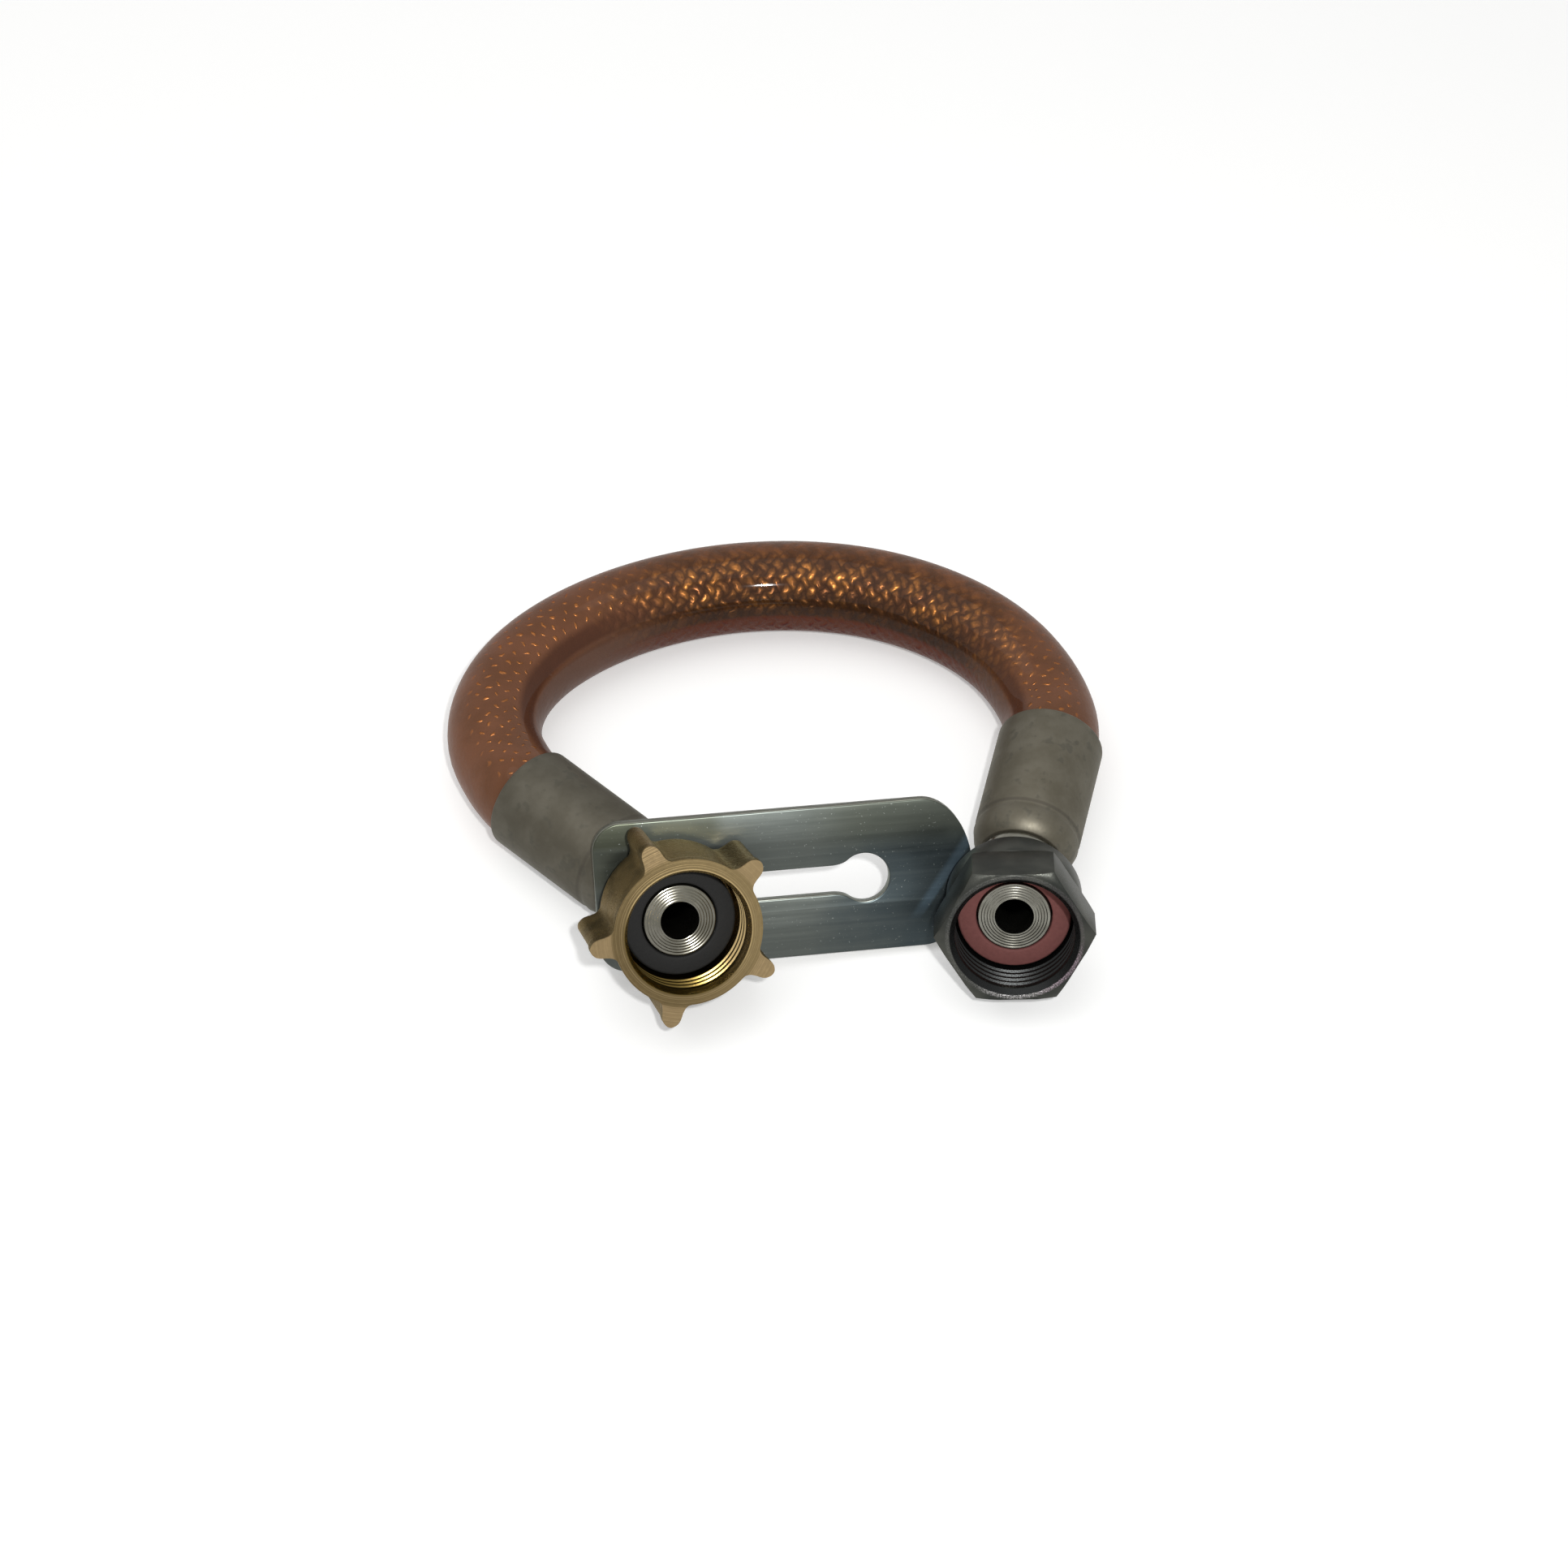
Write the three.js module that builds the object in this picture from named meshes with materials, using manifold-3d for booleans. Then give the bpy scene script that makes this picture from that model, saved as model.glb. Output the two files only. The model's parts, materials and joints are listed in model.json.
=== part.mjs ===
// Short high-pressure pigtail hose. Millimetres, +Z up, lying at rest on the plane z = 0.
// A lug nut of cast brass closes the left end and a steel hex nut the right end; both are loose
// on bent steel nipples, and a steel plate with a keyhole hangs on the neck behind the lug nut.
import * as THREE from 'three';
import { mergeVertices } from 'three/addons/utils/BufferGeometryUtils.js';
import Module from 'manifold-3d';

const wasm = await Module();
wasm.setup();

// Driving dimensions
const GAP = 0.3;                 // play between pieces that touch
const ROUND = 32;                // sides of turned surfaces
const OVERCUT = 1;               // how far a cut runs past the surface it opens

// hose: three layers, from the clear cover in to the liner
const HOSE_R = 8.75;
const COVER_WALL = 1.5;
const LAYER_GAP = 0.32;
const BRAID_WALL = 0.6;
const LINER_WALL = 1.0;
const BRAID_R = HOSE_R - COVER_WALL - LAYER_GAP;
const LINER_R = BRAID_R - BRAID_WALL - LAYER_GAP;
const HOSE_STEPS = 32;
const HOSE_SIDES = 10;
const HOSE_FRONT_GAP = 4.2;      // the hose ends short of the ferrule's front end

// ferrules: outline points are [step from the outer radius, distance], front end first
const HOSE_PLAY = 0.4;
const FERRULE_WALL = 0.6;
const FERRULE_BORE_R = HOSE_R + HOSE_PLAY;
const FERRULE_R = FERRULE_BORE_R + FERRULE_WALL;
const FERRULE_LENGTH = 28;
const FERRULE_FLOOR = HOSE_FRONT_GAP - 0.8;
const FERRULE_NOSE = [[-2.2, 0], [-0.7, 2.1]];
const CRIMP_AT = 5;
const CRIMP_FORM = [[-0.2, -0.9], [-0.42, -0.2], [-0.42, 0.3], [-0.15, 1]];
const FERRULE_LIP = [[0, 1], [0, 0.25], [-0.2, 0]];   // distance here is from the mouth

// nuts: bend is the length of the nut's line behind the nut, leg the rest up to the ferrule, and
// collarR the radius of the nipple's collar in front of the ferrule
const LUG_NUT = {
  length: 15, wall: 3.6, seal: 7, holeR: 5.8, minorR: 10.4, mouthR: 11, pitch: 1.6,
  bend: 6.5, leg: 5.95, collarR: 6.2,
};
const HEX_NUT = {
  length: 16, wall: 3.3, seal: 8, holeR: 5.9, minorR: 10.25, mouthR: 11.1, pitch: 1.5,
  bend: 3, leg: 7.02, collarR: 7.3,
};
const THREAD_DEPTH = 0.55;
const THREAD_FORM = [[0, 0], [0.35, THREAD_DEPTH], [0.5, THREAD_DEPTH], [0.85, 0]];  // share of pitch, depth
const THREAD_AFTER_SEAL = 0.2;
const MOUTH_CHAMFER = 0.9;
const MOUTH_LIP = 0.05;

const LUG_BODY_R = 12.6;
const LUG_COUNT = 5;
const LUG_FIRST = 32.5;          // degrees, anticlockwise seen from the front
const LUG_TIP_R = LUG_BODY_R + 4.4;
// half outline of one lug: distance past the body's radius, distance to the side
const LUG_SIDE = [[-0.3, 3.4], [0.15, 2.6], [0.8, 2.1], [1.8, 1.85], [2.8, 1.75], [3.6, 1.45], [4.15, 0.85]];
const LUG_ARC_STEPS = 5;
const LUG_EDGE = 0.5;
const LUG_SHORT = 0.3;           // the lugs end behind the mouth's rim
const LUG_BACK_CHAMFER = 0.9;
const LUG_RIM_R = LUG_BODY_R + 0.3;
// step from the rim's radius, depth under the front
const LUG_RIM = [[-0.3, 2.4], [0, 1.9], [0, 0.7], [-0.25, 0.2], [-0.7, 0]];

const HEX_FLATS = 24;            // across the flats
const HEX_PART = 9.2;            // length of the hexagon; the rest is a round collar
const HEX_TURN = THREE.MathUtils.degToRad(5);
const HEX_COLLAR_R = 11.9;
const HEX_COLLAR_EDGE = 1;
const HEX_COLLAR_RISE = 0.8;
const HEX_GROOVE = 0.3;
const HEX_GROOVE_START = 0.4;
const HEX_GROOVE_END = 0.2;
const HEX_JOIN = 0.5;            // the collar runs this far into the hexagon
const HEX_CHAMFER = { back: 0.9, backRise: 0.7, front: 1.25, outside: 0.1, frontR: HEX_COLLAR_R + 0.2 };

// nipples: nose and head in the nut, bent neck, collar and hose tail
const NOSE_R = 6.3;
const NOSE_PROUD = 0.15;         // the nose stands past the seal
const NOSE_EDGE = 0.25;
const HEAD_R = HEX_NUT.minorR - 0.65;
const TURNED_EDGE = 0.4;
const NECK_R = 5.5;
const NECK_OVERLAP = 0.5;
const TAIL_R = LINER_R - LINER_WALL - 0.61;
const TAIL_WALL = 1.05;
const BORE_R = TAIL_R - TAIL_WALL;
const COLLAR_LENGTH = 1.6;
const TAIL_LENGTH = 20;
const TAIL_SHOULDER = 2.2;
const TAIL_SLOPE = 1;
const TAIL_POINT = 2;
const TAIL_POINT_STEP = 0.6;
const SHOULDER_PROUD = 0.02;
const BEND_BEFORE = 1;           // the bend starts inside the nut's back face
const BEND_AFTER = 3.5;          // and ends past the corner of the two lines
const ROD_SIDES = 16;
const BEND_STEPS = 5;

const SEAL_R = HEX_NUT.minorR - 0.45;
const SEAL_BORE_R = NOSE_R + GAP;
const SEAL_THICK = 2.5;

// plate: lengths run from the middle of the hole that hangs on the neck
const PLATE = { thick: 2.2, edge: 0.25, left: -12.2, flat: 45.6, right: 54.6, half: 13.5, corner: 5 };
const PLATE_HOLE_R = NECK_R + 1.8;
const PLATE_BEHIND_NUT = 3.55;   // plate centre behind the lug nut's back face
const PLATE_LIFT = 1.45;         // the plate stands on its lower edge, so its hole rides up on the neck
const PLATE_ARC_STEPS = 8;
const KEY = { x: 35.2, r: 4.45, round: THREE.MathUtils.degToRad(127), slotHalf: 2.6, slotLeft: 12.5 };
const KEY_THROAT = { turn: 3.75, slot: 5.9 };   // the round hole runs into the slot, left of its middle

// Layout: the part lies on the plane z = 0, and each ferrule's front end is a fixed point of it
const V = (x, y, z) => new THREE.Vector3(x, y, z);
const LUG_BACKWARD = V(-0.255, 0.801, -0.541).normalize();
const HEX_BACKWARD = V(0.068, 0.909, -0.41).normalize();
const LEFT_LINE = { x: -25.82, y: -21.59, outward: V(-0.7279, 0.6854, -0.0181).normalize() };
const RIGHT_LINE = { x: 42.34, y: -16.52, outward: V(0.2486, 0.9686, -0.0016).normalize() };
const PLATE_NORMAL = V(-0.13, 0.822, -0.556).normalize();
const PLATE_LONG = V(0.99, 0.136, -0.032);
// centre of the hose along its first and last straight, from the ferrule's front end
const HOSE_STRAIGHT = [HOSE_FRONT_GAP, 10, 16, 22, 29];
// centre of the hose between the two ferrules, left to right
const HOSE_BEND = [
  [-50.7, 4.4, 8.9], [-53.4, 11, 8.8], [-53.8, 18.2, 8.8], [-51.8, 25.8, 8.8], [-47.4, 33, 8.8],
  [-40.7, 39.6, 8.8], [-32.2, 45.2, 8.8], [-22.6, 49.4, 8.8], [-12.4, 52.1, 8.8], [-2, 53.2, 8.8],
  [8.2, 52.8, 8.8], [18.1, 50.8, 8.8], [27.5, 47, 8.8], [35.9, 41.5, 8.8], [42.7, 34.4, 8.8],
  [47.3, 26.2, 8.8], [49.6, 18.2, 8.9],
];

// Helpers
const material = (hex, roughness, metalness, opacity = 1) => new THREE.MeshStandardMaterial({
  color: new THREE.Color(hex), roughness, metalness, opacity, transparent: opacity < 1,
});

function solid(geometry) {
  geometry.deleteAttribute('normal');
  geometry.deleteAttribute('uv');
  const merged = mergeVertices(geometry, 1e-5);
  return new wasm.Manifold(new wasm.Mesh({
    numProp: 3,
    vertProperties: new Float32Array(merged.attributes.position.array),
    triVerts: new Uint32Array(merged.index.array),
  }));
}

function toMesh(body, name, mat) {
  const mesh = body.getMesh();
  const positions = new Float32Array(mesh.numVert * 3);
  for (let i = 0; i < mesh.numVert; i += 1) {
    for (let k = 0; k < 3; k += 1) positions[i * 3 + k] = mesh.vertProperties[i * mesh.numProp + k];
  }
  const geometry = new THREE.BufferGeometry();
  geometry.setAttribute('position', new THREE.BufferAttribute(positions, 3));
  geometry.setIndex(new THREE.BufferAttribute(new Uint32Array(mesh.triVerts), 1));
  geometry.computeVertexNormals();
  const out = new THREE.Mesh(geometry, mat);
  out.name = name;
  return out;
}

// profile points are [radius, height]; the lathe turns about z, height runs along +z
function turned(profile, sides = ROUND) {
  const points = profile.map(([r, h]) => new THREE.Vector2(r, h));
  if (profile[0][0] > 0) points.push(points[0].clone());
  const geometry = new THREE.LatheGeometry(points, sides);
  geometry.rotateX(Math.PI / 2);
  return geometry;
}

// axes of a piece: z along `forward`, x sideways and y as upright as it can be
function placement(origin, forward, spin = 0) {
  const z = forward.clone().normalize();
  const x = V(0, 0, 1).cross(z).normalize();
  const y = z.clone().cross(x);
  const matrix = new THREE.Matrix4().makeBasis(x, y, z);
  matrix.multiply(new THREE.Matrix4().makeRotationZ(spin));
  matrix.setPosition(origin);
  return matrix;
}

function ringOutline(outer, inner, sides) {
  const shape = new THREE.Shape();
  const hole = new THREE.Path();
  for (let i = 0; i <= sides; i += 1) {
    const a = (i / sides) * 2 * Math.PI;
    shape[i ? 'lineTo' : 'moveTo'](outer * Math.cos(a), outer * Math.sin(a));
    if (inner > 0) hole[i ? 'lineTo' : 'moveTo'](inner * Math.cos(-a), inner * Math.sin(-a));
  }
  if (inner > 0) shape.holes.push(hole);
  return shape;
}

function tubeAlong(curve, outer, inner, sides, steps) {
  return new THREE.ExtrudeGeometry(ringOutline(outer, inner, sides), { extrudePath: curve, steps });
}

function place(body, matrix) {
  return body.transform(matrix.elements);
}

// Lines of the two ends, worked out from the ferrule forwards
function endLine(nut, backward, { x, y, outward }) {
  const ferruleFront = V(x, y, FERRULE_R - outward.z * FERRULE_LENGTH);
  const corner = ferruleFront.clone().addScaledVector(outward, -nut.leg);
  const back = corner.clone().addScaledVector(backward, -nut.bend);
  const frontward = backward.clone().negate();
  return { nut, back, backward, frontward, corner, outward, ferruleFront };
}
const LEFT = endLine(LUG_NUT, LUG_BACKWARD, LEFT_LINE);
const RIGHT = endLine(HEX_NUT, HEX_BACKWARD, RIGHT_LINE);

// Nuts
// threaded socket that is cut out of a nut, drawn from its back hole to its mouth
function socket(nut) {
  const profile = [[0, -OVERCUT], [nut.holeR, -OVERCUT], [nut.holeR, nut.wall], [nut.minorR, nut.wall]];
  const threadStart = nut.length - nut.seal + THREAD_AFTER_SEAL;
  const threadEnd = nut.length - MOUTH_CHAMFER;
  for (let h = threadStart; h + nut.pitch <= threadEnd; h += nut.pitch) {
    THREAD_FORM.forEach(([share, depth]) => profile.push([nut.minorR + depth, h + nut.pitch * share]));
  }
  profile.push([nut.minorR, threadEnd], [nut.mouthR, nut.length - MOUTH_LIP]);
  profile.push([nut.mouthR, nut.length + OVERCUT], [0, nut.length + OVERCUT]);
  return solid(turned(profile));
}

function lugOutline() {
  const shape = new THREE.Shape();
  const points = [];
  for (let lug = 0; lug < LUG_COUNT; lug += 1) {
    const at = THREE.MathUtils.degToRad(LUG_FIRST + (360 / LUG_COUNT) * lug);
    const put = (along, side) => points.push([
      along * Math.cos(at) - side * Math.sin(at), along * Math.sin(at) + side * Math.cos(at)]);
    LUG_SIDE.forEach(([past, side]) => put(LUG_BODY_R + past, -side));
    put(LUG_TIP_R, 0);
    [...LUG_SIDE].reverse().forEach(([past, side]) => put(LUG_BODY_R + past, side));
    const root = Math.atan2(LUG_SIDE[0][1], LUG_BODY_R + LUG_SIDE[0][0]);
    const span = (2 * Math.PI) / LUG_COUNT - 2 * root;
    for (let i = 1; i < LUG_ARC_STEPS; i += 1) {
      const a = at + root + (span * i) / LUG_ARC_STEPS;
      points.push([LUG_BODY_R * Math.cos(a), LUG_BODY_R * Math.sin(a)]);
    }
  }
  points.forEach(([x, y], i) => shape[i ? 'lineTo' : 'moveTo'](x, y));
  shape.closePath();
  return shape;
}

function lugNut() {
  const L = LUG_NUT.length;
  const lugs = new THREE.ExtrudeGeometry(lugOutline(), {
    depth: L - 2 * LUG_EDGE - LUG_SHORT, bevelEnabled: true, bevelThickness: LUG_EDGE,
    bevelSize: LUG_EDGE, bevelOffset: -LUG_EDGE, bevelSegments: 2,
  });
  lugs.translate(0, 0, LUG_EDGE);
  const rim = turned([
    [0, 0], [LUG_BODY_R - LUG_BACK_CHAMFER, 0], [LUG_BODY_R, LUG_BACK_CHAMFER],
    ...LUG_RIM.map(([step, depth]) => [LUG_RIM_R + step, L - depth]), [0, L],
  ]);
  const body = solid(lugs).add(solid(rim)).subtract(socket(LUG_NUT));
  return toMesh(place(body, placement(LEFT.back, LEFT.frontward)),
    'brass_lug_nut', material('#8a6a3c', 0.38, 0.9));
}

function hexagonOutline(corner) {
  const shape = new THREE.Shape();
  for (let i = 0; i < 6; i += 1) {
    const a = (i * Math.PI) / 3 + HEX_TURN;
    shape[i ? 'lineTo' : 'moveTo'](corner * Math.cos(a), corner * Math.sin(a));
  }
  shape.closePath();
  return shape;
}

function hexNut() {
  const L = HEX_NUT.length;
  const hexBack = L - HEX_PART;
  const corner = HEX_FLATS / Math.sqrt(3);
  const outside = corner + HEX_CHAMFER.outside;
  const prism = new THREE.ExtrudeGeometry(hexagonOutline(corner), { depth: HEX_PART, bevelEnabled: false });
  prism.translate(0, 0, hexBack);
  const chamfer = turned([
    [0, hexBack], [corner - HEX_CHAMFER.back, hexBack], [outside, hexBack + HEX_CHAMFER.backRise],
    [outside, L - HEX_CHAMFER.front], [HEX_CHAMFER.frontR, L], [0, L],
  ]);
  const collar = turned([
    [0, 0], [HEX_COLLAR_R - HEX_COLLAR_EDGE, 0], [HEX_COLLAR_R, HEX_COLLAR_RISE],
    [HEX_COLLAR_R, hexBack - HEX_GROOVE_START], [HEX_COLLAR_R - HEX_GROOVE, hexBack - HEX_GROOVE_END],
    [HEX_COLLAR_R - HEX_GROOVE, hexBack + HEX_JOIN], [0, hexBack + HEX_JOIN],
  ]);
  const body = solid(prism).intersect(solid(chamfer)).add(solid(collar)).subtract(socket(HEX_NUT));
  return toMesh(place(body, placement(RIGHT.back, RIGHT.frontward)),
    'steel_hex_nut', material('#3f423f', 0.34, 0.9));
}

// Nipples and seals
// line of a nipple: straight in the nut, one bend, straight in the hose
function nippleRoute(end, start, finish) {
  const legFront = end.back.clone().addScaledVector(end.frontward, BEND_BEFORE);
  const legBack = end.corner.clone().addScaledVector(end.outward, BEND_AFTER);
  const route = new THREE.CurvePath();
  route.add(new THREE.LineCurve3(end.back.clone().addScaledVector(end.frontward, start), legFront));
  route.add(new THREE.QuadraticBezierCurve3(legFront, end.corner, legBack));
  route.add(new THREE.LineCurve3(legBack, end.ferruleFront.clone().addScaledVector(end.outward, finish)));
  return route;
}

function nippleHead({ length, seal: sealDepth, wall }) {
  const top = length - sealDepth + NOSE_PROUD;
  const headBack = wall + GAP;
  const headFront = length - sealDepth - SEAL_THICK - GAP;
  return turned([
    [0, headBack], [HEAD_R - TURNED_EDGE, headBack], [HEAD_R, headBack + TURNED_EDGE], [HEAD_R, headFront],
    [NOSE_R, headFront], [NOSE_R, top - NOSE_EDGE], [NOSE_R - NOSE_EDGE, top], [0, top],
  ]);
}

function nippleTail(collarR) {
  const shoulderR = NECK_R + SHOULDER_PROUD;
  const collarFront = -GAP - COLLAR_LENGTH;
  return turned([
    [0, collarFront], [collarR - TURNED_EDGE, collarFront], [collarR, collarFront + TURNED_EDGE],
    [collarR, -GAP - TURNED_EDGE], [collarR - TURNED_EDGE, -GAP],
    [shoulderR, -GAP], [shoulderR, TAIL_SHOULDER], [TAIL_R, TAIL_SHOULDER + TAIL_SLOPE],
    [TAIL_R, TAIL_LENGTH - TAIL_POINT], [TAIL_R - TAIL_POINT_STEP, TAIL_LENGTH], [0, TAIL_LENGTH],
  ]);
}

function nipple(end, name) {
  const { nut } = end;
  const neck = bentRod(nippleRoute(end, nut.wall + GAP + NECK_OVERLAP, NECK_OVERLAP), NECK_R);
  const drillStart = nut.length - nut.seal + NOSE_PROUD + OVERCUT;
  const drill = bentRod(nippleRoute(end, drillStart, TAIL_LENGTH + OVERCUT), BORE_R);
  const body = place(solid(nippleHead(nut)), placement(end.back, end.frontward))
    .add(neck)
    .add(place(solid(nippleTail(nut.collarR)), placement(end.ferruleFront, end.outward)))
    .subtract(drill);
  return toMesh(body, name, material('#8f8b84', 0.32, 0.9));
}

// round bar through the corners of a route, ring after ring
function bentRod(route, radius) {
  const sides = ROD_SIDES;
  const rings = [];
  route.curves.forEach((piece, index) => {
    const steps = piece.isLineCurve3 ? 1 : BEND_STEPS;
    for (let i = index === 0 ? 0 : 1; i <= steps; i += 1) {
      rings.push([piece.getPoint(i / steps), piece.getTangent(i / steps)]);
    }
  });
  const positions = [];
  const up = V(0, 0, 1);
  rings.forEach(([centre, tangent]) => {
    const x = up.clone().cross(tangent).normalize();
    const y = tangent.clone().cross(x);
    for (let k = 0; k < sides; k += 1) {
      const a = (k / sides) * 2 * Math.PI;
      positions.push(...centre.clone().addScaledVector(x, radius * Math.cos(a))
        .addScaledVector(y, radius * Math.sin(a)).toArray());
    }
  });
  const index = [];
  for (let r = 0; r + 1 < rings.length; r += 1) {
    for (let k = 0; k < sides; k += 1) {
      const a = r * sides + k;
      const b = r * sides + ((k + 1) % sides);
      index.push(a, b, b + sides, a, b + sides, a + sides);
    }
  }
  for (let k = 1; k + 1 < sides; k += 1) {
    index.push(0, k + 1, k);
    const base = (rings.length - 1) * sides;
    index.push(base, base + k, base + k + 1);
  }
  const geometry = new THREE.BufferGeometry();
  geometry.setAttribute('position', new THREE.Float32BufferAttribute(positions, 3));
  geometry.setIndex(index);
  return solid(geometry);
}

function seal(end, name, mat) {
  const front = end.nut.length - end.nut.seal;
  const back = front - SEAL_THICK;
  const ring = turned([
    [SEAL_BORE_R, back], [SEAL_R, back], [SEAL_R, front - GAP], [SEAL_R - GAP, front], [SEAL_BORE_R, front],
  ]);
  return toMesh(place(solid(ring), placement(end.back, end.frontward)), name, mat);
}

// Ferrules
function ferrule(end, name) {
  const step = (from, forward) => ([out, distance]) => [FERRULE_R + out, from + forward * distance];
  const holeR = NECK_R + GAP;
  const profile = [
    [holeR, 0], ...FERRULE_NOSE.map(step(0, 1)), ...CRIMP_FORM.map(step(CRIMP_AT, 1)),
    ...FERRULE_LIP.map(step(FERRULE_LENGTH, -1)), [FERRULE_BORE_R, FERRULE_LENGTH],
    [FERRULE_BORE_R, FERRULE_FLOOR], [holeR, FERRULE_FLOOR],
  ];
  return toMesh(place(solid(turned(profile)), placement(end.ferruleFront, end.outward)),
    name, material('#6f675b', 0.42, 0.85));
}

// Hose
function hoseLine() {
  const points = [];
  const along = (end) => HOSE_STRAIGHT.map((d) => end.ferruleFront.clone().addScaledVector(end.outward, d));
  points.push(...along(LEFT));
  HOSE_BEND.forEach(([x, y, z]) => points.push(V(x, y, z)));
  points.push(...along(RIGHT).reverse());
  return new THREE.CatmullRomCurve3(points, false, 'centripetal');
}

function hoseLayers() {
  const line = hoseLine();
  const layers = [
    ['hose_cover', HOSE_R, COVER_WALL, material('#a3471f', 0.3, 0, 0.55)],
    ['hose_braid', BRAID_R, BRAID_WALL, material('#b8863a', 0.4, 0.3)],
    ['hose_liner', LINER_R, LINER_WALL, material('#2b1712', 0.6, 0)],
  ];
  return layers.map(([name, outer, wall, mat]) => toMesh(
    solid(tubeAlong(line, outer, outer - wall, HOSE_SIDES, HOSE_STEPS)), name, mat));
}

// Plate
function keyholePath() {
  const { x, r, round, slotHalf, slotLeft } = KEY;
  const path = new THREE.Path();
  const startX = x + r * Math.cos(round);
  const startY = r * Math.sin(round);
  path.moveTo(startX, startY);
  path.absarc(x, 0, r, round, -round, true);
  path.quadraticCurveTo(x - KEY_THROAT.turn, -slotHalf, x - KEY_THROAT.slot, -slotHalf);
  path.lineTo(slotLeft + slotHalf, -slotHalf);
  path.absarc(slotLeft + slotHalf, 0, slotHalf, -Math.PI / 2, -1.5 * Math.PI, true);
  path.lineTo(x - KEY_THROAT.slot, slotHalf);
  path.quadraticCurveTo(x - KEY_THROAT.turn, slotHalf, startX, startY);
  return path;
}

function plateOutline() {
  const { left, flat, right, half, corner } = PLATE;
  const shape = new THREE.Shape();
  shape.moveTo(left + corner, -half);
  shape.lineTo(flat, -half);
  shape.absellipse(flat, 0, right - flat, half, -Math.PI / 2, Math.PI / 2, false, 0);
  shape.lineTo(left + corner, half);
  shape.absarc(left + corner, half - corner, corner, Math.PI / 2, Math.PI, false);
  shape.absarc(left + corner, -half + corner, corner, Math.PI, 1.5 * Math.PI, false);
  const neckHole = new THREE.Path();
  neckHole.absarc(0, 0, PLATE_HOLE_R, 0, 2 * Math.PI, true);
  shape.holes.push(neckHole, keyholePath());
  return shape;
}

function keyholePlate() {
  const { thick, edge } = PLATE;
  const geometry = new THREE.ExtrudeGeometry(plateOutline(), {
    depth: thick - 2 * edge, bevelEnabled: true, bevelThickness: edge, bevelSize: edge,
    bevelOffset: -edge, bevelSegments: 1, curveSegments: PLATE_ARC_STEPS,
  });
  geometry.translate(0, 0, edge - thick / 2);
  const front = PLATE_NORMAL.clone().negate();
  const long = PLATE_LONG.clone().addScaledVector(front, -PLATE_LONG.dot(front)).normalize();
  const up = front.clone().cross(long);
  const hole = LEFT.back.clone().addScaledVector(LEFT.backward, PLATE_BEHIND_NUT);
  hole.addScaledVector(up, PLATE_LIFT);
  const matrix = new THREE.Matrix4().makeBasis(long, up, front).setPosition(hole);
  return toMesh(place(solid(geometry), matrix), 'keyhole_plate', material('#5d666b', 0.3, 0.9));
}

// Whole part
const hose = hoseLayers();
const fittings = [
  ferrule(LEFT, 'left_ferrule'), ferrule(RIGHT, 'right_ferrule'),
  nipple(LEFT, 'left_nipple'), nipple(RIGHT, 'right_nipple'),
  lugNut(), hexNut(),
  seal(LEFT, 'black_seal', material('#141414', 0.7, 0)),
  seal(RIGHT, 'red_seal', material('#4a1b18', 0.65, 0)),
  keyholePlate(),
];

// the origin is the middle of the underside of the box around everything but the hose
const box = new THREE.Box3();
fittings.forEach((mesh) => box.expandByObject(mesh));
const origin = box.getCenter(V(0, 0, 0)).setZ(0);

const group = new THREE.Group();
group.name = 'high_pressure_pigtail_hose';
group.add(...hose, ...fittings);
group.children.forEach((mesh) => mesh.geometry.translate(-origin.x, -origin.y, -origin.z));
export default group;
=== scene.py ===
"""High-pressure pigtail hose: the finish of its pieces, the camera and the light. Metres, +Z up."""
import json
import math

import bpy
from mathutils import Matrix, Vector


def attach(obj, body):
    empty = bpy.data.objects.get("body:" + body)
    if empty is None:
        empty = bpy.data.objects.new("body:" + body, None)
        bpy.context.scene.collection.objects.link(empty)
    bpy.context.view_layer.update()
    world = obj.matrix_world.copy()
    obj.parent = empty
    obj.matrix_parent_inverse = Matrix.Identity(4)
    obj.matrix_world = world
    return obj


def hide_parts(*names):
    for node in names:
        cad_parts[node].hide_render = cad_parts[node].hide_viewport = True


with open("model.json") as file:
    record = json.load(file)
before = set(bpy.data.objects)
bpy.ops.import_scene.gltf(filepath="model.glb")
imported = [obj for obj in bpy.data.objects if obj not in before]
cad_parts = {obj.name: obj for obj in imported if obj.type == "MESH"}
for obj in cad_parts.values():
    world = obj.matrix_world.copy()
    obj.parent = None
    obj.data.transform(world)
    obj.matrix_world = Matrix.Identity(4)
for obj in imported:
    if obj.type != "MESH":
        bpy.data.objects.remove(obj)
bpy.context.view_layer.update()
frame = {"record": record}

MM = 0.001

# Sizes in millimetres, the same as the solids'
GAP = 0.3                        # play between pieces that touch
HOSE_R = 8.75
COVER_WALL = 1.5
LAYER_GAP = 0.32
BRAID_WALL = 0.6
LINER_WALL = 1.0
BRAID_R = HOSE_R - COVER_WALL - LAYER_GAP
LINER_R = BRAID_R - BRAID_WALL - LAYER_GAP
HOSE_FRONT_GAP = 4.2             # the hose ends short of the ferrule's front
FERRULE_R = 9.75
FERRULE_BORE_R = 9.15
FERRULE_LENGTH = 28
FERRULE_FLOOR = HOSE_FRONT_GAP - 0.8
NECK_R = 5.5
NOSE_R = 6.3
NOSE_PROUD = 0.15                # the nose stands past the seal
HEAD_R = 9.6
BORE_R = 3.35
TAIL_R = 4.4
TAIL_LENGTH = 20
TAIL_SHOULDER = 2.2
TAIL_SLOPE = 1
TAIL_POINT = 2
TAIL_POINT_STEP = 0.6
COLLAR_LENGTH = 1.6
SEAL_R = 9.8
SEAL_THICK = 2.5
THREAD_AFTER_SEAL = 0.2
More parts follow.
